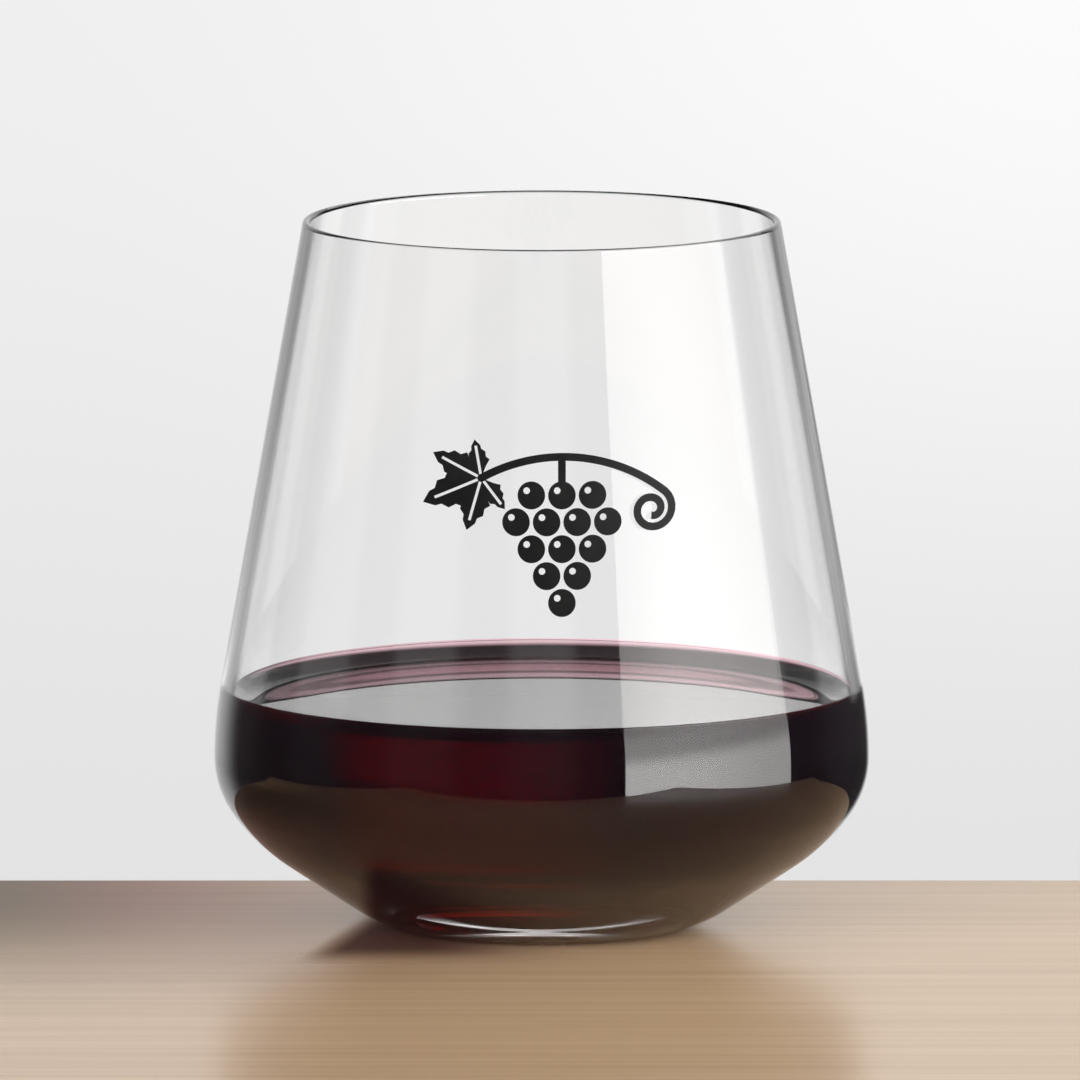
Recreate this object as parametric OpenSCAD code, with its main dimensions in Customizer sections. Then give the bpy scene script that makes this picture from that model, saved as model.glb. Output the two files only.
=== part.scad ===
// Stemless wine glass with a pour of red wine and a one-colour printed vine.
// Millimetres, +Z up. The origin is the centre of the foot, on the table.
// The printed side faces -Y.

/* [Bowl outside] */
// Height of the glass
height = 106.8; // [98:0.1:120]
// Outside diameter at the rim
rim_d = 71.8; // [66:0.1:80]
// Outside diameter at the widest point
belly_d = 98.3; // [92:0.1:106]
// Height of the widest point
belly_h = 25.8; // [24:0.1:32]
// Radius of the side's curve just above the widest point
shoulder_r = 62.5; // [30:0.5:75]
// Radius of the side's curve just below the widest point
hip_r = 14.3; // [11:0.1:17]
// Angle that the hip curve turns through, in degrees
hip_sweep = 36; // [25:0.5:45]
// Radius of the curve between the hip and the straight flank
flank_r = 29.5; // [26:0.5:34]
// Radius of the soft curve that turns the flank into the foot
heel_r = 19.5; // [15:0.5:23]
// Diameter of the flat ring that stands on the table
foot_d = 35.4; // [33:0.1:38]

/* [Underside] */
// Diameter of the shallow hollow under the foot
punt_d = 30; // [20:0.5:32]
// Height of that hollow at the centre
punt_rise = 0.7; // [0.3:0.1:2]

/* [Glass thickness] */
// Wall at the rim, which is melted round
rim_wall = 1.2; // [0.8:0.1:2]
// Wall at the widest point
belly_wall = 1.6; // [1:0.1:2.4]
// Height of the inside floor above the table, at the centre
floor_h = 8.2; // [5:0.1:9.5]
// Radius of the inside curve just below the widest point
inner_hip_r = 13; // [10:0.1:16]

/* [Wine] */
// Height of the wine's flat surface above the table
wine_level = 33.3; // [28:0.1:60]
// Capillary length of the wine, which sets how far it climbs the wall
capillary_length = 2.15; // [1.5:0.05:2.7]
// Slope of the wine's surface where it meets the wall, in degrees
contact_slope = 92; // [50:1:94]

/* [Print] */
// Thickness of the fired ink
ink_t = 0.05; // [0.03:0.01:0.2]
// Height of the middle of the print
print_h = 64.5; // [60:0.5:72]
// Distance of the print's stalk from the glass's centre line
print_shift = 3; // [-10:0.5:10]
// Diameter of one grape
grape_d = 4.1; // [3:0.1:4.3]
// Bare gap between grapes
grape_gap = 0.45; // [0.3:0.05:0.6]
// Width of the cane, the stalk and the tendril
cane_w = 1.15; // [0.8:0.05:1.6]
// Radius of the cane's arch
cane_r = 24; // [24:0.5:30]
// Length of the stalk between the cane and the grapes
stalk_l = 3.6; // [2.5:0.1:6]
// Length of the leaf's middle lobe
leaf_l = 9.5; // [8:0.1:10]
// Width of the bare veins in the leaf
vein_w = 0.4; // [0.3:0.05:0.6]
// Radius of the tendril's outer turn
tendril_r = 3.2; // [2.8:0.1:3.4]

/* [Hidden] */

// Largest turn of one flat step on a curve of the outline, in degrees
step_angle = 3;
$fn = 64;

// Points on an arc about c from angle a to angle b. skip leaves out the first.
function arc(c, r, a, b, skip = 0) =
    let (n = ceil(abs(b - a) / step_angle))
    [for (i = [skip:n]) c + r * [cos(a + (b - a) * i / n), sin(a + (b - a) * i / n)]];

// Normal angle of the straight line that touches circle p outside and circle q
// on the same side. A negative rq puts q on the line's other side.
function touch_angle(p, rp, q, rq, side) =
    let (d = q - p)
    atan2(d.y, d.x) + side * acos((rp - rq) / norm(d));

// Outside circles of the bowl, from the rim down
rim_c = [(rim_d - rim_wall) / 2, height - rim_wall / 2];
shoulder_c = [belly_d / 2 - shoulder_r, belly_h];
hip_c = [belly_d / 2 - hip_r, belly_h];
flank_c = hip_c + (hip_r - flank_r) * [cos(hip_sweep), -sin(hip_sweep)];
heel_c = [foot_d / 2, heel_r];
side_tilt = touch_angle(shoulder_c, shoulder_r, rim_c, rim_wall / 2, -1);
flank_tilt = touch_angle(flank_c, flank_r, heel_c, heel_r, 1);

// Inside circles of the bowl
inner_belly_r = belly_d / 2 - belly_wall;
inner_shoulder_r = shoulder_r - belly_wall;
inner_shoulder_c = [inner_belly_r - inner_shoulder_r, belly_h];
inner_hip_c = [inner_belly_r - inner_hip_r, belly_h];
inner_tilt = touch_angle(inner_shoulder_c, inner_shoulder_r, rim_c, -rim_wall / 2, -1);
// The dished floor is centred on the axis and touches the inner hip's circle.
floor_drop = belly_h - floor_h;
dish_r = (inner_hip_c.x * inner_hip_c.x + floor_drop * floor_drop - inner_hip_r * inner_hip_r)
    / (2 * (floor_drop - inner_hip_r));
dish_c = [0, floor_h + dish_r];
dish_tilt = atan2(inner_hip_c.y - dish_c.y, inner_hip_c.x);

// Hollow under the foot
punt_r = (punt_d * punt_d / 4 + punt_rise * punt_rise) / (2 * punt_rise);
punt_c = [0, punt_rise - punt_r];
punt_points = arc(punt_c, punt_r, 90, 90 - asin(punt_d / 2 / punt_r));

outside_points = concat(
    arc(heel_c, heel_r, -90, flank_tilt),
    arc(flank_c, flank_r, flank_tilt, -hip_sweep),
    arc(hip_c, hip_r, -hip_sweep, 0, 1),
    arc(shoulder_c, shoulder_r, 0, side_tilt, 1)
);
rim_points = arc(rim_c, rim_wall / 2, side_tilt, 180 + inner_tilt);
inside_points = concat(
    arc(inner_shoulder_c, inner_shoulder_r, inner_tilt, 0),
    arc(inner_hip_c, inner_hip_r, 0, dish_tilt, 1),
    arc(dish_c, dish_r, dish_tilt, -90, 1)
);

// Radius of a wall's own flat steps at height z
function radius_at(points, z) = lookup(z, [for (p = points) [p.y, p.x]]);
inner_wall = concat([rim_points[len(rim_points) - 1]], inside_points);

// The wine's surface near the wall follows the capillary curve of a liquid:
// its rise and its distance from the wall, by the surface's slope.
function wine_rise(slope) = 2 * capillary_length * sin(slope / 2);
function wine_reach(slope) = capillary_length * (ln(tan(slope / 4)) + 2 * cos(slope / 2));
meniscus_steps = 8;
least_slope_share = 0.06;
contact_h = wine_level + wine_rise(contact_slope);
contact_r = radius_at(inner_wall, contact_h);
meniscus_points = [for (i = [0:meniscus_steps])
    let (slope = contact_slope * pow(least_slope_share, i / meniscus_steps))
    [contact_r - wine_reach(contact_slope) + wine_reach(slope), wine_level + wine_rise(slope)]];
wine_sides = [for (i = [len(inner_wall) - 1:-1:0]) if (inner_wall[i].y < contact_h) inner_wall[i]];

// Bunch of grapes: how many hang in each row, from the top down
grape_rows = [3, 4, 3, 2, 1];
grape_pitch = grape_d + grape_gap;
row_pitch = grape_pitch * sin(60);
bunch_h = row_pitch * (len(grape_rows) - 1) + grape_d;
// Bare glint on each grape, as shares of the grape's diameter
glint_share = 0.24;
glint_shift_shares = [-0.17, 0.17];
// The cane arches over the bunch, from the leaf's end to the tendril's end.
leaf_end = 30;
tendril_end = 40;
cane_steps = 24;
cane_c = [0, -cane_r];
motif_h = stalk_l + bunch_h + cane_w / 2;
// Leaf: turn of the middle lobe, then each lobe's turn and length from it
leaf_turn = 204;
lobe_angles = [0, 50, -50, 104, -104];
lobe_length_shares = [1, 0.84, 0.84, 0.6, 0.6];
// Half of a lobe's saw-toothed edge, as shares of its length
lobe_edge_shares = [[0.28, 0.17], [0.44, 0.3], [0.53, 0.215], [0.66, 0.225], [0.74, 0.13], [0.84, 0.12]];
vein_length_share = 0.74;
// Tendril: its turns, and its inner radius as a share of the outer one
tendril_turns = 1.4;
tendril_end_share = 0.28;
tendril_steps = 36;
tendril_c = cane_c + (cane_r - tendril_r) * [sin(tendril_end), cos(tendril_end)];
// The line from the leaf along the cane and round the tendril, each point given
// by its curve's centre, its distance from there and its angle
cane_line = concat(
    [for (i = [0:cane_steps]) [cane_c, cane_r, 90 + leaf_end - (leaf_end + tendril_end) * i / cane_steps]],
    [for (i = [1:tendril_steps])
        let (part = i / tendril_steps)
        [tendril_c, tendril_r * (1 - (1 - tendril_end_share) * part), 90 - tendril_end - 360 * tendril_turns * part]]
);

module turned(points) {
    rotate_extrude($fn = 128)
        polygon(points);
}

// One-piece bowl with a round rim, a dished floor and a thick foot
module glass_body() {
    color("whitesmoke", 0.35)
        turned(concat(punt_points, outside_points, rim_points, inside_points));
}

// The pour, face to face with the glass, with its climb at the wall
module red_wine() {
    color("darkred")
        turned(concat(wine_sides, meniscus_points, [[0, wine_level]]));
}

module grape() {
    difference() {
        circle(d = grape_d);
        translate(glint_shift_shares * grape_d)
            circle(d = glint_share * grape_d);
    }
}

// Rows of grapes that hang from the origin
module grape_bunch() {
    for (row = [0:len(grape_rows) - 1])
        for (i = [0:grape_rows[row] - 1])
            translate([(i - (grape_rows[row] - 1) / 2) * grape_pitch, -grape_d / 2 - row * row_pitch])
                grape();
}

// One pointed lobe of the leaf along +X
module lobe(length) {
    last = len(lobe_edge_shares) - 1;
    polygon(length * concat(
        [[0, 0]],
        [for (p = lobe_edge_shares) [p.x, -p.y]],
        [[1, 0]],
        [for (i = [last:-1:0]) lobe_edge_shares[i]]
    ));
}

// Five lobes round the leaf's root, with their veins left bare
module leaf() {
    difference() {
        for (i = [0:len(lobe_angles) - 1])
            rotate(lobe_angles[i])
                lobe(lobe_length_shares[i] * leaf_l);
        for (i = [0:len(lobe_angles) - 1])
            rotate(lobe_angles[i])
                translate([cane_w / 2, -vein_w / 2])
                    square([vein_length_share * lobe_length_shares[i] * leaf_l, vein_w]);
    }
}

// Point beside the cane's line, half the cane's width out or in
function cane_edge(point, side) =
    point[0] + (point[1] + side * cane_w / 2) * [cos(point[2]), sin(point[2])];

module cane() {
    last = len(cane_line) - 1;
    polygon(concat(
        [for (i = [0:last]) cane_edge(cane_line[i], 1)],
        [for (i = [last:-1:0]) cane_edge(cane_line[i], -1)]
    ));
}

// The whole motif, flat, with its middle at the origin
module vine_motif() {
    translate([0, motif_h / 2]) {
        cane();
        translate([-cane_w / 2, -stalk_l - grape_gap])
            square([cane_w, stalk_l + grape_gap]);
        translate([0, -stalk_l])
            grape_bunch();
        translate(cane_c + cane_r * [-sin(leaf_end), cos(leaf_end)])
            rotate(leaf_turn)
                leaf();
    }
}

// Ink film on the straight side, face to face with the glass
module vine_print() {
    side_low = outside_points[len(outside_points) - 1];
    side_high = rim_points[0];
    color("black")
        intersection() {
            turned([side_low, side_low + [ink_t, 0], side_high + [ink_t, 0], side_high]);
            translate([print_shift, 0, print_h])
                rotate([90, 0, 0])
                    linear_extrude(belly_d / 2)
                        vine_motif();
        }
}

glass_body();
red_wine();
vine_print();
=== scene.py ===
"""Stemless wine glass with red wine and a printed vine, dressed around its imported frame.

Metres, +Z up, the foot's centre at the origin, and the printed side towards -Y.
"""

import math

import bmesh
import bpy
from bpy.props import FloatProperty, FloatVectorProperty, IntProperty, PointerProperty
from bpy.types import Operator, Panel, PropertyGroup
from mathutils import Matrix, Vector


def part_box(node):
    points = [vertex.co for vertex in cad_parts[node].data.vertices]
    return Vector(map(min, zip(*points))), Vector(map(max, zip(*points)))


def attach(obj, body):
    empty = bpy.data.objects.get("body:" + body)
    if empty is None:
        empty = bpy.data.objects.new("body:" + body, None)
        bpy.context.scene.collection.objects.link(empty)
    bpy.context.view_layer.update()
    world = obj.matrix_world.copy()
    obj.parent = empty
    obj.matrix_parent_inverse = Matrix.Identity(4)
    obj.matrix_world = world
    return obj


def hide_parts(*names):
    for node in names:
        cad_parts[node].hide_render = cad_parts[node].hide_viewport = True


bl_info = {
    "name": "Stemless Wine Glass",
    "version": (1, 0, 0),
    "blender": (4, 5, 0),
    "location": "3D View > Sidebar > Glassware",
    "description": "Builds a stemless glass, its pour of red wine, its print and a small studio",
    "category": "Add Mesh",
}

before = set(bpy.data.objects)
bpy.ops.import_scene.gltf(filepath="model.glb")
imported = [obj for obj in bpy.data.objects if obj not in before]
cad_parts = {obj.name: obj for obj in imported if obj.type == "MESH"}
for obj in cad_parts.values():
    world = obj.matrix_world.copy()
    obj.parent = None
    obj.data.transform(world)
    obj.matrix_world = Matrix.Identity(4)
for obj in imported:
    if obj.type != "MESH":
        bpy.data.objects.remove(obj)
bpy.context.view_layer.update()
GLASS_LOW, GLASS_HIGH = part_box("glass_body")
MM = 0.001

WELD_DISTANCE = 2e-7  # metres within which doubled vertices are merged
RING_TOLERANCE = 1e-6  # metres within which a vertex lies on a named ring
COUNT_SLACK = 1e-6  # keeps rounding from adding a step to an arc
LEAST_SLOPE = math.radians(0.5)  # where the wine's climb counts as flat
SENSOR_WIDTH = 36  # millimetres, which the camera's lens is given for
CLEAR_BOUNCES = 32  # for light through the glass and the wine
MIRROR_BOUNCES = 16


# Settings


def length(name, description, millimetres):
    """A length setting, given in millimetres and kept in metres."""
    default = millimetres * MM
    return FloatProperty(
        name=name, description=description, default=default, min=0, precision=5, unit="LENGTH"
    )


def angle(name, description, degrees):
    """An angle setting, given in degrees and kept in radians."""
    return FloatProperty(
        name=name, description=description, default=math.radians(degrees), unit="ROTATION"
    )


def number(name, description, value):
    """A plain number setting."""
    return FloatProperty(name=name, description=description, default=value)


def colour(name, description, value):
    """A colour setting, as linear red, green and blue."""
    return FloatVectorProperty(
        name=name, description=description, default=value, size=3, min=0, max=1, subtype="COLOR"
    )


class BowlSizes(PropertyGroup):
    """Outline of the glass, the same as in the part's source."""

    height: FloatProperty(
        name="Height", description="Table to rim", default=GLASS_HIGH.z, precision=5, unit="LENGTH"
    )
    belly_d: FloatProperty(
        name="Belly diameter",
        description="Outside, at the widest point",
        default=GLASS_HIGH.x - GLASS_LOW.x,
        precision=5,
        unit="LENGTH",
    )
    rim_d: length("Rim diameter", "Outside diameter at the rim", 71.8)
    belly_h: length("Belly height", "Height of the widest point", 25.8)
    shoulder_r: length("Shoulder radius", "Curve of the side above the widest point", 62.5)
    hip_r: length("Hip radius", "Curve of the side below the widest point", 14.3)
    hip_sweep: angle("Hip sweep", "How far the hip curve turns", 36)
    flank_r: length("Flank radius", "Curve between the hip and the straight flank", 29.5)
    heel_r: length("Heel radius", "Curve that turns the flank into the foot", 19.5)
    foot_d: length("Foot diameter", "Outside of the ring that stands on the table", 35.4)
    punt_d: length("Punt diameter", "Width of the shallow hollow under the foot", 30)
    punt_rise: length("Punt rise", "Depth of that hollow", 0.7)
    rim_wall: length("Rim wall", "Thickness of the rounded rim", 1.2)
    belly_wall: length("Belly wall", "Thickness at the widest point", 1.6)
    floor_h: length("Floor height", "Height of the inside floor at the centre", 8.2)
    inner_hip_r: length("Inner hip radius", "Inside curve below the widest point", 13)
    around: IntProperty(
        name="Steps around", description="Faces round the glass", default=384, min=32
    )
    arc_step: angle("Arc step", "Largest turn of one step along the outline", 1.5)
    rim_step: angle("Rim step", "Largest turn of one step round the rim's bead", 6)


class WineSizes(PropertyGroup):
    """The pour and its climb at the wall."""

    level: length("Level", "Height of the flat surface", 33.3)
    capillary_length: length("Capillary length", "Sets how far the wine climbs the wall", 2.15)
    contact_slope: angle("Contact slope", "Slope of the surface where it meets the wall", 92)
    overlap: length("Overlap", "How far the wine's side stands inside the glass", 0.02)
    meniscus_steps: IntProperty(
        name="Meniscus steps", description="Steps in the climb", default=28, min=4
    )


class Finishes(PropertyGroup):
    """Optical values and colours of the pieces."""

    glass_ior: number("Glass IOR", "Refractive index of the glass", 1.52)
    wine_ior: number("Wine IOR", "Refractive index of the wine", 1.34)
    wine_colour: colour("Wine colour", "What the wine lets through", (0.857, 0.167, 0.333))
    wine_density: number("Wine density", "Absorption per metre", 300)
    haze: number("Wine haze", "Share of light that the wine scatters back", 0.016)
    haze_colour: colour("Haze colour", "Colour of that light", (0.5, 0.08, 0.5))
    ink_colour: colour("Ink colour", "Fired black ink", (0.0007, 0.0007, 0.0008))
    ink_roughness: number("Ink roughness", "Sheen of the ink", 0.42)
    ink_specular: number("Ink reflection", "Strength of the ink's reflections", 0.2)


class StageSettings(PropertyGroup):
    """Camera, table and light."""

    camera_distance: length("Camera distance", "From the aim point", 5000)
    camera_elevation: angle("Camera elevation", "Above the horizon", 7.816)
    camera_lens: number("Camera lens", "Focal length in millimetres", 1111.1)
    aim_side: FloatProperty(
        name="Aim to the side",
        description="Aim point along X",
        default=-0.00026,
        precision=5,
        unit="LENGTH",
    )
    aim_height: length("Aim height", "Height of the aim point", 58.4)
    table_back: length("Table back", "Distance of the table's back edge behind the glass", 46.5)
    table_reach: length("Table reach", "Distance of the other edges", 230)
    table_t: length("Table thickness", "Thickness of the table top", 40)
    table_edge: length("Table edge", "Rounding of the table's edges", 0.6)
    table_colour: colour("Table colour", "Pale birch", (0.615, 0.424, 0.258))
    table_roughness: number("Table roughness", "Satin finish of the table", 0.24)
    table_specular: number("Table sheen", "Strength of the table's reflections", 0.17)
    ambient: number("Ambient light", "Strength of the light from all round", 0.3)
    front_light: number("Front light", "Strength of the low light from the front right", 12.5)
    glass_gain: number("Seen through", "Brightness of the pale strips seen in the glass", 1.17)
    flag: number("Dark flags", "Brightness of the dark strips between them", 0.27)
    glow_bearing: angle("Glow bearing", "Bearing of the pale strip that lights the wine", 8)
    wine_flag: number("Wine flags", "Brightness of the dark strips seen in the wine", 0.03)
    back_light: number("Back light", "Brightness of the lamp behind", 1.6)
    window_low: number("Window, low", "Brightness of the side window at the table's height", 7.8)
    window_middle: number("Window, middle", "Brightness of the side window higher up", 4.2)
    window_high: number("Window, high", "Brightness of the side window's top", 0.85)
    window_from: angle("Window from", "Bearing of the window's near edge", 29)
    window_to: angle("Window to", "Bearing of the window's far edge", 97)
    window_distance: length("Window distance", "From the glass to the window's edges", 1450)
    window_base: FloatProperty(
        name="Window base", description="Height of its lower edge", default=-0.35, unit="LENGTH"
    )
    window_h: length("Window height", "From its lower edge to its top", 1150)


# Outline


def arc_points(centre, radius, start, end, step, skip=0):
    """Points on an arc in the outline's plane, the first of them left out on request."""
    count = max(1, math.ceil(abs(end - start) / step - COUNT_SLACK))
    angles = [start + (end - start) * i / count for i in range(skip, count + 1)]
    return [centre + radius * Vector((math.cos(a), math.sin(a))) for a in angles]


def touch_angle(p, rp, q, rq, side):
    """Normal angle of the straight line that touches both circles."""
    d = q - p
    return math.atan2(d.y, d.x) + side * math.acos((rp - rq) / d.length)


def bowl_outline(s):
    """The glass's outline from the punt's centre over the rim to the floor's, in three runs."""
    right = math.pi / 2
    # The wider an arc, the smaller the turn of one step on it
    wide_step, punt_step = s.arc_step / 2, s.arc_step / 3
    bead_r = s.rim_wall / 2
    rim_c = Vector((s.rim_d / 2 - bead_r, s.height - bead_r))
    shoulder_c = Vector((s.belly_d / 2 - s.shoulder_r, s.belly_h))
    hip_c = Vector((s.belly_d / 2 - s.hip_r, s.belly_h))
    sweep_out = Vector((math.cos(s.hip_sweep), -math.sin(s.hip_sweep)))
    flank_c = hip_c + (s.hip_r - s.flank_r) * sweep_out
    heel_c = Vector((s.foot_d / 2, s.heel_r))
    side_tilt = touch_angle(shoulder_c, s.shoulder_r, rim_c, bead_r, -1)
    flank_tilt = touch_angle(flank_c, s.flank_r, heel_c, s.heel_r, 1)

    inner_belly_r = s.belly_d / 2 - s.belly_wall
    inner_shoulder_r = s.shoulder_r - s.belly_wall
    inner_shoulder_c = Vector((inner_belly_r - inner_shoulder_r, s.belly_h))
    inner_hip_c = Vector((inner_belly_r - s.inner_hip_r, s.belly_h))
    inner_tilt = touch_angle(inner_shoulder_c, inner_shoulder_r, rim_c, -bead_r, -1)
    drop = s.belly_h - s.floor_h
    dish_r = (inner_hip_c.x**2 + drop**2 - s.inner_hip_r**2) / (2 * (drop - s.inner_hip_r))
    dish_c = Vector((0, s.floor_h + dish_r))
    dish_tilt = math.atan2(inner_hip_c.y - dish_c.y, inner_hip_c.x)

    punt_r = (s.punt_d**2 / 4 + s.punt_rise**2) / (2 * s.punt_rise)
    punt_c = Vector((0, s.punt_rise - punt_r))
    punt_edge = right - math.asin(s.punt_d / 2 / punt_r)
    punt = arc_points(punt_c, punt_r, right, punt_edge, punt_step)
    outside = (
        arc_points(heel_c, s.heel_r, -right, flank_tilt, s.arc_step)
        + arc_points(flank_c, s.flank_r, flank_tilt, -s.hip_sweep, s.arc_step)
        + arc_points(hip_c, s.hip_r, -s.hip_sweep, 0, s.arc_step, 1)
        + arc_points(shoulder_c, s.shoulder_r, 0, side_tilt, wide_step, 1)
    )
    bead = arc_points(rim_c, bead_r, side_tilt, math.pi + inner_tilt, s.rim_step)
    inside = (
        arc_points(inner_shoulder_c, inner_shoulder_r, inner_tilt, 0, wide_step)
        + arc_points(inner_hip_c, s.inner_hip_r, 0, dish_tilt, s.arc_step, 1)
        + arc_points(dish_c, dish_r, dish_tilt, -right, s.arc_step, 1)
    )
    inside[-1].x = punt[0].x = 0
    return punt, outside + bead, [bead[-1]] + inside


def wine_rise(s, slope):
    """Height of the wine's curved edge above its flat surface, where it has this slope."""
    return 2 * s.capillary_length * math.sin(slope / 2)


def wine_reach(s, slope):
    """Distance of that place from the wall, up to a constant."""
    return s.capillary_length * (math.log(math.tan(slope / 4)) + 2 * math.cos(slope / 2))


def point_at_height(points, height):
    """Where a falling run of points crosses a height, and how many points lie above it."""
    above = sum(p.y > height for p in points)
    upper, lower = points[above - 1], points[above]
    return upper.lerp(lower, (upper.y - height) / (upper.y - lower.y)), above


def split_at_wine(inside, s):
    """The inside wall above and below the line where the wine's surface meets it."""
    contact, above = point_at_height(inside, s.level + wine_rise(s, s.contact_slope))
    return inside[:above] + [contact], [contact] + inside[above:]


def moved_outwards(wall, distance):
    """The inside wall's points moved into the glass, down to the one on the axis."""
    side = []
    for before, point, after in zip([wall[0]] + wall[:-1], wall, wall[1:] + [wall[-1]]):
        normal = (after - before).orthogonal().normalized()
        outwards = normal.dot(Vector((point.x, point.y - 1))) > 0
        side.append(point + distance * (normal if outwards else -normal))
    side[-1] = Vector((0, wall[-1].y - distance))
    return side


def wine_climb(s, contact):
    """Points of the wine's curved edge, from the wall to where it is as good as flat."""
    flattening = LEAST_SLOPE / s.contact_slope
    slopes = [
        s.contact_slope * flattening ** (i / s.meniscus_steps) for i in range(s.meniscus_steps + 1)
    ]
    centre_side = contact.x - wine_reach(s, s.contact_slope)
    return [Vector((centre_side + wine_reach(s, a), s.level + wine_rise(s, a))) for a in slopes]


# Mesh tools


def spin_run(bm, points, steps, material):
    """Turns a run of outline points a quarter of the way round the Z axis."""
    verts = [bm.verts.new((p.x, 0, p.y)) for p in points]
    edges = [bm.edges.new(pair) for pair in zip(verts, verts[1:])]
    before = set(bm.faces)
    bmesh.ops.spin(
        bm,
        geom=verts + edges,
        cent=(0, 0, 0),
        axis=(0, 0, 1),
        angle=math.pi / 2,
        steps=steps // 4,
        use_merge=False,
        use_normal_flip=False,
        use_duplicate=False,
    )
    for face in set(bm.faces) - before:
        face.material_index = material
        face.smooth = True


def turned_piece(name, runs, steps, creases):
    """A closed turned mesh from runs of outline points, each with its material's number.

    creases are outline points whose ring is a hard edge.
    """
    bm = bmesh.new()
    for points, material in runs:
        spin_run(bm, points, steps, material)
    quarter = bm.verts[:] + bm.edges[:] + bm.faces[:]
    for turn in (1, 2, 3):
        copied = bmesh.ops.duplicate(bm, geom=quarter)["geom"]
        verts = [v for v in copied if isinstance(v, bmesh.types.BMVert)]
        turned = Matrix.Rotation(turn * math.pi / 2, 3, "Z")
        bmesh.ops.rotate(bm, cent=(0, 0, 0), matrix=turned, verts=verts)
    bmesh.ops.remove_doubles(bm, verts=bm.verts, dist=WELD_DISTANCE)
    bmesh.ops.recalc_face_normals(bm, faces=bm.faces)
    if bm.calc_volume(signed=True) < 0:
        bmesh.ops.reverse_faces(bm, faces=bm.faces)
    rings = [Vector((p.x, p.y)) for p in creases]
    for edge in bm.edges:
        ends = [Vector((v.co.xy.length, v.co.z)) for v in edge.verts]
        if any(all((end - ring).length < RING_TOLERANCE for end in ends) for ring in rings):
            edge.smooth = False
    return piece_from(bm, name)


def piece_from(bm, name):
    """Makes an object at the origin from a bmesh."""
    mesh = bpy.data.meshes.new(name)
    bm.to_mesh(mesh)
    bm.free()
    piece = bpy.data.objects.new(name, mesh)
    bpy.context.scene.collection.objects.link(piece)
    return piece


# Material tools


def feed(tree, socket, value):
    """Links an output to an input, or sets the input to a number or a colour."""
    if isinstance(value, bpy.types.NodeSocket):
        tree.links.new(value, socket)
    elif socket.type == "RGBA":
        socket.default_value = (*value, 1)
    else:
        socket.default_value = value


def math_node(tree, operation, *values):
    """A Math node with numbers or sockets as its inputs; returns its output."""
    node = tree.nodes.new("ShaderNodeMath")
    node.operation = operation
    for socket, value in zip(node.inputs, values):
        feed(tree, socket, value)
    return node.outputs[0]


def product(tree, *values):
    """The product of several numbers or sockets."""
    result = values[0]
    for value in values[1:]:
        result = math_node(tree, "MULTIPLY", result, value)
    return result


def ramp(tree, value, start, end, low=0.0, high=1.0):
    """A smooth step of a value from start to end, as low to high."""
    node = tree.nodes.new("ShaderNodeMapRange")
    node.interpolation_type = "SMOOTHSTEP"
    tree.links.new(value, node.inputs["Value"])
    limits = {"From Min": start, "From Max": end, "To Min": low, "To Max": high}
    for key, limit in limits.items():
        node.inputs[key].default_value = limit
    return node.outputs["Result"]


def ramps(tree, value, rows):
    """The product of several smooth steps of one value."""
    return product(tree, *(ramp(tree, value, *row) for row in rows))


def mix(tree, factor, a, b, blend="MIX"):
    """A colour mix of numbers, colours or sockets; returns its output."""
    node = tree.nodes.new("ShaderNodeMix")
    node.data_type = "RGBA"
    node.blend_type = blend
    node.clamp_factor = False
    for socket, value in zip([s for s in node.inputs if s.enabled], (factor, a, b)):
        feed(tree, socket, value)
    return [s for s in node.outputs if s.enabled][0]


def mix_shaders(tree, factor, first, second):
    """A share of the second shader over the first; returns the output."""
    node = tree.nodes.new("ShaderNodeMixShader")
    for socket, value in zip(node.inputs, (factor, first, second)):
        feed(tree, socket, value)
    return node.outputs["Shader"]


def grey(tree, value):
    """A grey colour from a number."""
    node = tree.nodes.new("ShaderNodeCombineColor")
    for socket in node.inputs[:3]:
        tree.links.new(value, socket)
    return node.outputs[0]


def noise(tree, coordinates, scale, detail=2.0, roughness=0.5, distortion=0.0):
    """A Noise texture's height."""
    node = tree.nodes.new("ShaderNodeTexNoise")
    tree.links.new(coordinates, node.inputs["Vector"])
    node.inputs["Scale"].default_value = scale
    node.inputs["Detail"].default_value = detail
    node.inputs["Roughness"].default_value = roughness
    node.inputs["Distortion"].default_value = distortion
    return node.outputs[0]


def object_coordinates(tree, stretch=(1, 1, 1)):
    """Object coordinates through a Mapping node."""
    source = tree.nodes.new("ShaderNodeTexCoord")
    mapping = tree.nodes.new("ShaderNodeMapping")
    mapping.inputs["Scale"].default_value = stretch
    tree.links.new(source.outputs["Object"], mapping.inputs["Vector"])
    return mapping.outputs["Vector"]


def axes(tree, vector):
    """The three numbers of a vector."""
    node = tree.nodes.new("ShaderNodeSeparateXYZ")
    tree.links.new(vector, node.inputs["Vector"])
    return node.outputs


def bump(tree, shader, height, distance):
    """Puts a bump of this height, in metres, on a shader's normal."""
    node = tree.nodes.new("ShaderNodeBump")
    node.inputs["Strength"].default_value = 1
    node.inputs["Distance"].default_value = distance
    tree.links.new(height, node.inputs["Height"])
    tree.links.new(node.outputs["Normal"], shader.inputs["Normal"])


def new_material(name):
    """A node material and its Principled shader."""
    material = bpy.data.materials.new(name)
    material.use_nodes = True
    return material, material.node_tree, material.node_tree.nodes["Principled BSDF"]


# Materials of the pieces


def clear_material(name, ior):
    """A clear, smooth surface between two media."""
    material, tree, shader = new_material(name)
    shader.inputs["Base Color"].default_value = (1, 1, 1, 1)
    shader.inputs["Roughness"].default_value = 0
    shader.inputs["IOR"].default_value = ior
    shader.inputs["Transmission Weight"].default_value = 1
    return material, tree, shader


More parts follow.
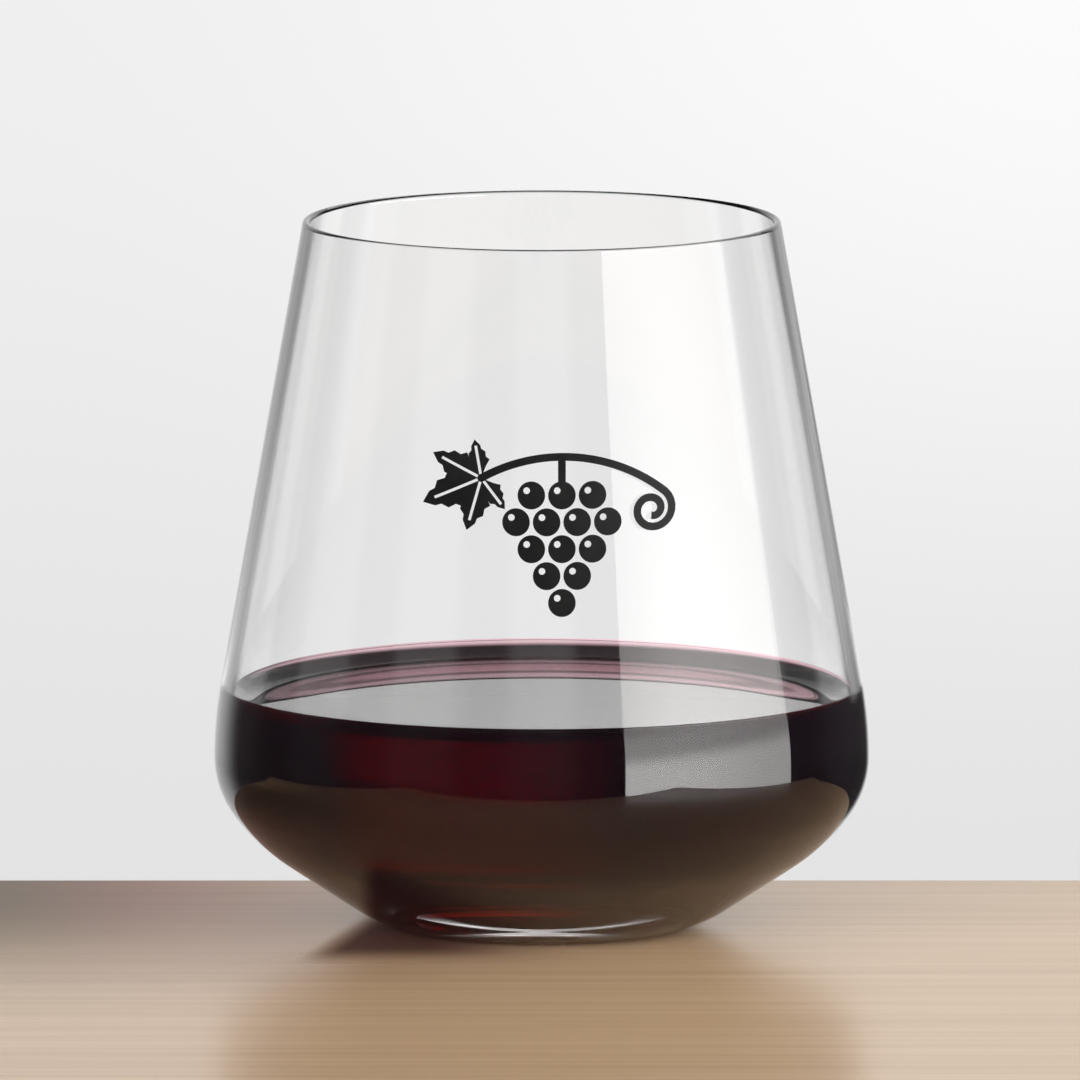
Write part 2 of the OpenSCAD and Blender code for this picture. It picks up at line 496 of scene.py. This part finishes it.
def glass_material(name, ior):
    """Clear glass with the faint waves that blowing leaves."""
    stretch, wave_scale, wave_height = (1, 1, 0.4), 45, 0.00003
    material, tree, shader = clear_material(name, ior)
    waves = noise(tree, object_coordinates(tree, stretch), wave_scale, detail=1)
    bump(tree, shader, waves, wave_height)
    return material


def wine_material(name, ior, finish, haze=0):
    """The wine's body, seen through this surface, and its haze where it lies against the glass."""
    material, tree, shader = clear_material(name, ior)
    out = tree.nodes["Material Output"]
    body = tree.nodes.new("ShaderNodeVolumeAbsorption")
    body.inputs["Color"].default_value = (*finish.wine_colour, 1)
    body.inputs["Density"].default_value = finish.wine_density
    tree.links.new(body.outputs["Volume"], out.inputs["Volume"])
    if haze:
        scattered = tree.nodes.new("ShaderNodeBsdfDiffuse")
        scattered.inputs["Color"].default_value = (*finish.haze_colour, 1)
        hazy = mix_shaders(tree, haze, shader.outputs["BSDF"], scattered.outputs["BSDF"])
        tree.links.new(hazy, out.inputs["Surface"])
    return material


def ink_material(finish):
    """Fired screen-print ink: near black, slightly uneven in sheen."""
    grain_scale, grain_height = 2600, 0.000004
    cloud_scale, cloud_lift, cloud_span = 240, 3.2, (0.3, 0.7)
    smoother, rougher = finish.ink_roughness - 0.05, finish.ink_roughness + 0.08
    material, tree, shader = new_material("fired_black_ink")
    coordinates = object_coordinates(tree)
    cloud = noise(tree, coordinates, cloud_scale)
    light = tuple(cloud_lift * c for c in finish.ink_colour)
    tree.links.new(mix(tree, cloud, finish.ink_colour, light), shader.inputs["Base Color"])
    tree.links.new(ramp(tree, cloud, *cloud_span, smoother, rougher), shader.inputs["Roughness"])
    shader.inputs["Specular IOR Level"].default_value = finish.ink_specular
    bump(tree, shader, noise(tree, coordinates, grain_scale, detail=3), grain_height)
    return material


# Pieces


class GLASSWARE_OT_bowl(Operator):
    """Turns the glass in one piece, with the part that the wine wets as a surface of its own"""

    bl_idname = "glassware.bowl"
    bl_label = "Glass Bowl"

    def execute(self, context):
        scene = context.scene
        sizes, finish = scene.bowl_sizes, scene.glass_finishes
        punt, outside, inside = bowl_outline(sizes)
        dry, wet = split_at_wine(inside, scene.wine_sizes)
        foot_ring = [punt[-1], outside[0]]
        runs = [(punt, 0), (foot_ring, 0), (outside, 0), (dry, 0), (wet, 1)]
        bowl = turned_piece("glass_bowl", runs, sizes.around, foot_ring[:1])
        wetted_ior = finish.glass_ior / finish.wine_ior
        bowl.data.materials.append(glass_material("clear_glass", finish.glass_ior))
        bowl.data.materials.append(glass_material("wetted_glass", wetted_ior))
        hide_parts("glass_body")
        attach(bowl, "root")
        return {"FINISHED"}


class GLASSWARE_OT_wine(Operator):
    """Pours the wine, with its flat surface and its climb at the wall"""

    bl_idname = "glassware.wine"
    bl_label = "Red Wine"

    def execute(self, context):
        scene = context.scene
        sizes, finish = scene.wine_sizes, scene.glass_finishes
        inside = bowl_outline(scene.bowl_sizes)[2]
        wall = split_at_wine(inside, sizes)[1]
        side = moved_outwards(wall, sizes.overlap)
        surface = [side[0]] + wine_climb(sizes, wall[0]) + [Vector((0, sizes.level))]
        runs = [(surface, 0), (side, 1)]
        wine = turned_piece("red_wine_pour", runs, scene.bowl_sizes.around, side[:1])
        wine.data.materials.append(wine_material("wine_surface", finish.wine_ior, finish))
        wine.data.materials.append(wine_material("wine_against_glass", 1.0, finish, finish.haze))
        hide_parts("red_wine")
        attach(wine, "root")
        return {"FINISHED"}


class GLASSWARE_OT_print(Operator):
    """Gives the printed vine its ink"""

    bl_idname = "glassware.print"
    bl_label = "Printed Vine"

    def execute(self, context):
        ink = ink_material(context.scene.glass_finishes)
        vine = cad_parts["vine_print"]
        for slot in vine.material_slots:
            slot.material = ink
        return {"FINISHED"}


# Stage
#
# Below, a row of two or four numbers is a smooth step: where it starts and ends, and its values
# there if they aren't 0 and 1. The steps of a group multiply.

# The table: stretch of its grain, shades of it as shares of the table's colour, and bump in metres
FINE_GRAIN = (6, 260, 60)
BROAD_GRAIN = (2, 30, 10)
GRAIN_DARK = (0.88, 0.86, 0.82)
GRAIN_LIGHT = (1.05, 1.06, 1.08)
FINE_SPAN = (0.3, 0.7)
BROAD_SPAN = (0.25, 0.75, 0, 0.5)
GRAIN_HEIGHT = 0.00001
# Its painted shadow at the back left, along X and Y in metres, from brown to tinted by light
# through the wine
SHADOW_X = ((-0.09, 0.02, 1, 0), (-0.19, -0.1))
SHADOW_Y = (-0.1, 0.035, 0.1, 0.9)
SHADOW_TINT_X = (-0.085, -0.05)
SHADOW_BROWN = (0.09, 0.06, 0.035)
SHADOW_WINE_TINT = (0.17, 0.045, 0.055)
SHADOW_ROUGHNESS = 0.42
# The painted shadow beside the foot, dark crimson from light through the wine; its left side
# slants
FOOT_SHADOW_SLANT = -0.21
FOOT_SHADOW_LEFT = (-0.03, -0.024)
FOOT_SHADOW_RIGHT = (-0.018, 0.008, 1, 0)
FOOT_SHADOW_Y = ((-0.042, -0.022, 0, 0.88), (0.01, 0.04, 1, 0))
FOOT_SHADOW_COLOUR = (0.055, 0.006, 0.011)
FOOT_SHADOW_ROUGHER = 0.5

# The wall behind, by the height (0 level, 1 straight up) and the side of the direction looked in
WALL_Z = (-0.1475, -0.119)
WALL_X = (-0.017, 0.017, -0.05, 0.05)
WALL_GAIN = 0.143
WALL_SHADE = 0.772
# The pale strips seen in the glass: how many, their sides, and their light by height
STRIPS = 8
STRIP_SIDES = (-0.6, 0.3)
STRIP_Z = ((-0.75, -0.5), (0.18, 0.32, 1, 0.4), (0.6, 0.85, 1, 0))
# The narrower ones seen in the wine, told by how many surfaces the light has crossed
WINE_CROSSINGS = (4.4, 5.6)
WINE_STRIPS = 4
WINE_STRIP_SIDES = (0.4, 1)
WINE_STRIP_Z = (
    (-0.42, -0.28, 0, 1.25),  # the dark band at the back wall, and the ring over it
    (-0.23, -0.17, 1, 0.4),  # the ring's end
    (-0.12, -0.06, 1, 2.5),  # the glow in the wine's body
    (0.17, 0.26, 1, 0),  # the dark above it
    (0.09, 0.12, 1, 0.42),  # the gap below the foot's bright line
    (0.16, 0.2, 1, 2.4),  # that line
)
# The strip that glass and wine mirror, by bearing in radians; its right side turns with height
MIRRORED_LEFT = (-0.9, -0.35)
MIRRORED_RIGHT = (0.05, 0.35, 1, 0)
MIRRORED_TURN = (-0.1, -0.04, 0, 0.35)
MIRRORED_Z = (0.3, 0.55, 1, 0)
MIRRORED_FLAG = 0.06
# The table's light: the direction it comes from, how broad it is and how high it reaches
FRONT_X, FRONT_Y = 0.5, -0.87
FRONT_SIDES = (-0.3, 0.4)
FRONT_Z = (0, 0.7, 1, 0)
WARM_WHITE = (1, 0.985, 0.96)
# The window's light by height and by depth, in metres
WINDOW_LOW_Z = (0.02, 0.12)
WINDOW_MIDDLE_Z = (0.15, 0.42)
WINDOW_Y = (-0.9, 0.2, 1, 0.55)
WINDOW_TINT = (1, 0.975, 0.955)
# The lamp behind: its place, what it points at, its sides in metres and its tint
LAMP_PLACE = Vector((0.35, 1.15, 0.95))
LAMP_TARGET = Vector((0, 0, 0.03))
LAMP_SIZE = (1.0, 0.6)
LAMP_TINT = (1, 0.99, 0.98)


def birch_material(stage):
    """Satin pale birch with a fine grain along X, with painted shadows at its back left and beside
    the foot.
    """
    material, tree, shader = new_material("pale_birch")
    fine = noise(tree, object_coordinates(tree, FINE_GRAIN), 1, detail=4, roughness=0.55)
    broad = noise(tree, object_coordinates(tree, BROAD_GRAIN), 1, detail=3, distortion=0.4)
    dark = tuple(c * k for c, k in zip(stage.table_colour, GRAIN_DARK))
    light = tuple(min(1, c * k) for c, k in zip(stage.table_colour, GRAIN_LIGHT))
    grain = mix(tree, ramp(tree, fine, *FINE_SPAN), dark, light)
    grain = mix(tree, ramp(tree, broad, *BROAD_SPAN), grain, light)

    # Painted shadow at the back left, from brown to tinted by light through the wine, mixed into
    # the base colour
    x, y, _ = axes(tree, object_coordinates(tree))
    shade = product(tree, ramps(tree, x, SHADOW_X), ramp(tree, y, *SHADOW_Y))
    painted_shadow_colour = mix(tree, ramp(tree, x, *SHADOW_TINT_X), SHADOW_BROWN, SHADOW_WINE_TINT)
    # Painted dark crimson shadow beside the foot, mixed over the base colour; the table is also
    # rougher there
    slanted = math_node(tree, "MULTIPLY_ADD", y, FOOT_SHADOW_SLANT, x)
    foot_shadow_mask = product(tree, ramp(tree, slanted, *FOOT_SHADOW_LEFT), ramp(tree, x, *FOOT_SHADOW_RIGHT))
    foot_shadow_mask = product(tree, foot_shadow_mask, ramps(tree, y, FOOT_SHADOW_Y))
    shaded = mix(tree, foot_shadow_mask, mix(tree, shade, grain, painted_shadow_colour), FOOT_SHADOW_COLOUR)
    tree.links.new(shaded, shader.inputs["Base Color"])

    satin = ramp(tree, shade, 0, 1, stage.table_roughness, SHADOW_ROUGHNESS)
    roughness = math_node(tree, "MULTIPLY_ADD", foot_shadow_mask, FOOT_SHADOW_ROUGHER, satin)
    tree.links.new(roughness, shader.inputs["Roughness"])
    shader.inputs["Specular IOR Level"].default_value = stage.table_specular
    bump(tree, shader, fine, GRAIN_HEIGHT)
    return material


def table_top(stage):
    """The table top, with its edges rounded."""
    bm = bmesh.new()
    bmesh.ops.create_cube(bm, size=1)
    depth = stage.table_reach + stage.table_back
    bmesh.ops.scale(bm, vec=(2 * stage.table_reach, depth, stage.table_t), verts=bm.verts)
    middle = (0, (stage.table_back - stage.table_reach) / 2, -stage.table_t / 2)
    bmesh.ops.translate(bm, vec=middle, verts=bm.verts)
    bmesh.ops.bevel(
        bm,
        geom=list(bm.edges),
        offset=stage.table_edge,
        affect="EDGES",
        segments=3,
        profile=0.5,
        material=-1,
    )
    table = piece_from(bm, "birch_table")
    table.data.materials.append(birch_material(stage))
    return table


def window_material(stage):
    """A tall window's light, strongest low down.

    It lights and is mirrored, and straight behind the glass the surround shows in its place.
    """
    material, tree, shader = new_material("window_light")
    tree.nodes.remove(shader)
    _, y, z = axes(tree, object_coordinates(tree))
    low = ramp(tree, z, *WINDOW_LOW_Z, stage.window_low - stage.window_middle, 0)
    middle = ramp(tree, z, *WINDOW_MIDDLE_Z, stage.window_middle - stage.window_high, 0)
    upright = math_node(tree, "ADD", math_node(tree, "ADD", low, middle), stage.window_high)
    light = tree.nodes.new("ShaderNodeEmission")
    light.inputs["Color"].default_value = (*WINDOW_TINT, 1)
    strength = product(tree, upright, ramp(tree, y, *WINDOW_Y))
    tree.links.new(strength, light.inputs["Strength"])

    path = tree.nodes.new("ShaderNodeLightPath").outputs
    bounces = math_node(tree, "ADD", path["Glossy Depth"], path["Diffuse Depth"])
    no_bounce = math_node(tree, "LESS_THAN", bounces, 0.5)
    straight = product(tree, path["Is Transmission Ray"], no_bounce)
    clear = tree.nodes.new("ShaderNodeBsdfTransparent")
    seen = mix_shaders(tree, straight, light.outputs["Emission"], clear.outputs["BSDF"])
    tree.links.new(seen, tree.nodes["Material Output"].inputs["Surface"])
    return material


def window_panel(stage):
    """The upright panel that shows as the band on the glass.

    It stands between two bearings, measured from the camera's side.
    """
    bm = bmesh.new()
    bearings = (stage.window_from, stage.window_to)
    sides = [Vector((math.sin(a), -math.cos(a), 0)) * stage.window_distance for a in bearings]
    foot = [bm.verts.new(side + Vector((0, 0, stage.window_base))) for side in sides]
    top = bmesh.ops.extrude_edge_only(bm, edges=[bm.edges.new(foot)])["geom"]
    raised = [v for v in top if isinstance(v, bmesh.types.BMVert)]
    bmesh.ops.translate(bm, vec=(0, 0, stage.window_h), verts=raised)
    panel = piece_from(bm, "side_window")
    panel.data.materials.append(window_material(stage))
    panel.visible_camera = False
    return panel


def wall_shade(tree, x, z):
    """The wall's own shade, lighter towards its top and its right."""
    gain = math_node(tree, "ADD", ramp(tree, x, *WALL_X), WALL_GAIN)
    return grey(tree, math_node(tree, "MULTIPLY_ADD", ramp(tree, z, *WALL_Z), gain, WALL_SHADE))


def strip_sides(tree, bearing, count, sides):
    """Pale strips all round, so many of them, with soft sides."""
    beat = math_node(tree, "COSINE", math_node(tree, "MULTIPLY", bearing, count))
    return ramp(tree, beat, *sides)


def seen_through(tree, stage, azimuth, z, crossings):
    """The strips that the glass sees, and narrower ones for light that has crossed the wine."""
    sides = strip_sides(tree, azimuth, STRIPS, STRIP_SIDES)
    strips = product(tree, sides, ramps(tree, z, STRIP_Z))
    turned = math_node(tree, "SUBTRACT", azimuth, stage.glow_bearing)
    wine_sides = strip_sides(tree, turned, WINE_STRIPS, WINE_STRIP_SIDES)
    glow = product(tree, wine_sides, ramps(tree, z, WINE_STRIP_Z))
    deep = ramp(tree, crossings, *WINE_CROSSINGS)
    pale = mix(tree, deep, grey(tree, strips), grey(tree, glow))
    dark = mix(tree, deep, (stage.flag,) * 3, (stage.wine_flag,) * 3)
    return mix(tree, pale, dark, (stage.glass_gain,) * 3)


def mirrored_strip(tree, azimuth, z):
    """The one pale strip that is mirrored, behind, wider on the left and above."""
    turned = math_node(tree, "SUBTRACT", azimuth, ramp(tree, z, *MIRRORED_TURN))
    sides = product(tree, ramp(tree, azimuth, *MIRRORED_LEFT), ramp(tree, turned, *MIRRORED_RIGHT))
    strip = product(tree, sides, ramp(tree, z, *MIRRORED_Z))
    return grey(tree, ramp(tree, strip, 0, 1, MIRRORED_FLAG, 1))


def table_light(tree, stage, x, y, z):
    """The light on the table: low and broad from the front right, and a little from all round."""
    towards = math_node(tree, "MULTIPLY_ADD", x, FRONT_X, math_node(tree, "MULTIPLY", y, FRONT_Y))
    front = product(tree, ramp(tree, towards, *FRONT_SIDES), ramp(tree, z, *FRONT_Z))
    level = math_node(tree, "MULTIPLY_ADD", front, stage.front_light, stage.ambient)
    return mix(tree, 1.0, grey(tree, level), WARM_WHITE, "MULTIPLY")


def studio_world(stage):
    """Pale all round to the camera; the glass sees it between darker flags, as in a studio."""
    world = bpy.data.worlds.new("studio")
    world.use_nodes = True
    tree = world.node_tree
    tree.nodes.clear()
    source = tree.nodes.new("ShaderNodeTexCoord")
    x, y, z = axes(tree, source.outputs["Generated"])
    azimuth = math_node(tree, "ARCTAN2", x, y)
    path = tree.nodes.new("ShaderNodeLightPath").outputs

    through = seen_through(tree, stage, azimuth, z, path["Transmission Depth"])
    share = mix(tree, path["Is Transmission Ray"], mirrored_strip(tree, azimuth, z), through)
    share = mix(tree, path["Is Camera Ray"], share, (1, 1, 1))
    backdrop = mix(tree, 1.0, wall_shade(tree, x, z), share, "MULTIPLY")
    clear_paths = math_node(tree, "MAXIMUM", path["Is Glossy Ray"], path["Is Transmission Ray"])
    shown = math_node(tree, "MAXIMUM", path["Is Camera Ray"], clear_paths)

    background = tree.nodes.new("ShaderNodeBackground")
    colour_seen = mix(tree, shown, table_light(tree, stage, x, y, z), backdrop)
    tree.links.new(colour_seen, background.inputs["Color"])
    out = tree.nodes.new("ShaderNodeOutputWorld")
    tree.links.new(background.outputs["Background"], out.inputs["Surface"])
    return world


def back_lamp(stage):
    """A soft area lamp behind, unseen by the camera and through the glass."""
    width, height = LAMP_SIZE
    data = bpy.data.lights.new("back_light", "AREA")
    data.shape = "RECTANGLE"
    data.size, data.size_y = width, height
    data.energy = stage.back_light * math.pi * width * height
    data.color = LAMP_TINT
    lamp = bpy.data.objects.new("back_light", data)
    lamp.location = LAMP_PLACE
    lamp.rotation_euler = (LAMP_TARGET - LAMP_PLACE).to_track_quat("-Z", "Y").to_euler()
    lamp.visible_camera = lamp.visible_transmission = False
    bpy.context.scene.collection.objects.link(lamp)


def long_lens_camera(stage):
    """The camera, far off in front and a little above the glass."""
    data = bpy.data.cameras.new("camera")
    data.lens = stage.camera_lens
    data.sensor_width = SENSOR_WIDTH
    camera = bpy.data.objects.new("camera", data)
    up = stage.camera_elevation
    back = Vector((0, -math.cos(up), math.sin(up)))
    aim = Vector((stage.aim_side, 0, stage.aim_height))
    camera.location = aim + back * stage.camera_distance
    camera.rotation_euler = (-back).to_track_quat("-Z", "Y").to_euler()
    bpy.context.scene.collection.objects.link(camera)
    return camera


class GLASSWARE_OT_studio(Operator):
    """Lays the table and sets the camera, the lamp, the window and the pale surround"""

    bl_idname = "glassware.studio"
    bl_label = "Studio"

    def execute(self, context):
        scene = context.scene
        stage = scene.stage_settings
        table_top(stage)
        window_panel(stage)
        back_lamp(stage)
        scene.world = studio_world(stage)
        scene.camera = long_lens_camera(stage)
        scene.view_settings.view_transform = "Standard"
        scene.cycles.max_bounces = CLEAR_BOUNCES
        scene.cycles.transmission_bounces = CLEAR_BOUNCES
        scene.cycles.glossy_bounces = MIRROR_BOUNCES
        return {"FINISHED"}


# Sidebar and registration


class GLASSWARE_PT_sidebar(Panel):
    """The glass's pieces and settings in the sidebar"""

    bl_idname = "GLASSWARE_PT_sidebar"
    bl_label = "Stemless Glass"
    bl_space_type = "VIEW_3D"
    bl_region_type = "UI"
    bl_category = "Glassware"

    def draw(self, context):
        for group in SETTINGS:
            box = self.layout.box()
            settings = getattr(context.scene, group)
            for key in type(settings).__annotations__:
                box.prop(settings, key)
        for step in STEPS:
            self.layout.operator(step.bl_idname)


SETTINGS = {
    "bowl_sizes": BowlSizes,
    "wine_sizes": WineSizes,
    "glass_finishes": Finishes,
    "stage_settings": StageSettings,
}
STEPS = (GLASSWARE_OT_bowl, GLASSWARE_OT_wine, GLASSWARE_OT_print, GLASSWARE_OT_studio)
CLASSES = (*SETTINGS.values(), *STEPS, GLASSWARE_PT_sidebar)


def register():
    """Adds the classes and the scene's settings."""
    for made in CLASSES:
        bpy.utils.register_class(made)
    for key, group in SETTINGS.items():
        setattr(bpy.types.Scene, key, PointerProperty(type=group))


def unregister():
    """Takes them away again."""
    for key in SETTINGS:
        delattr(bpy.types.Scene, key)
    for made in reversed(CLASSES):
        bpy.utils.unregister_class(made)


def main():
    """Builds every piece and the stage."""
    register()
    bpy.ops.glassware.bowl()
    bpy.ops.glassware.wine()
    bpy.ops.glassware.print()
    bpy.ops.glassware.studio()
    bpy.context.view_layer.update()


if __name__ == "__main__":
    main()
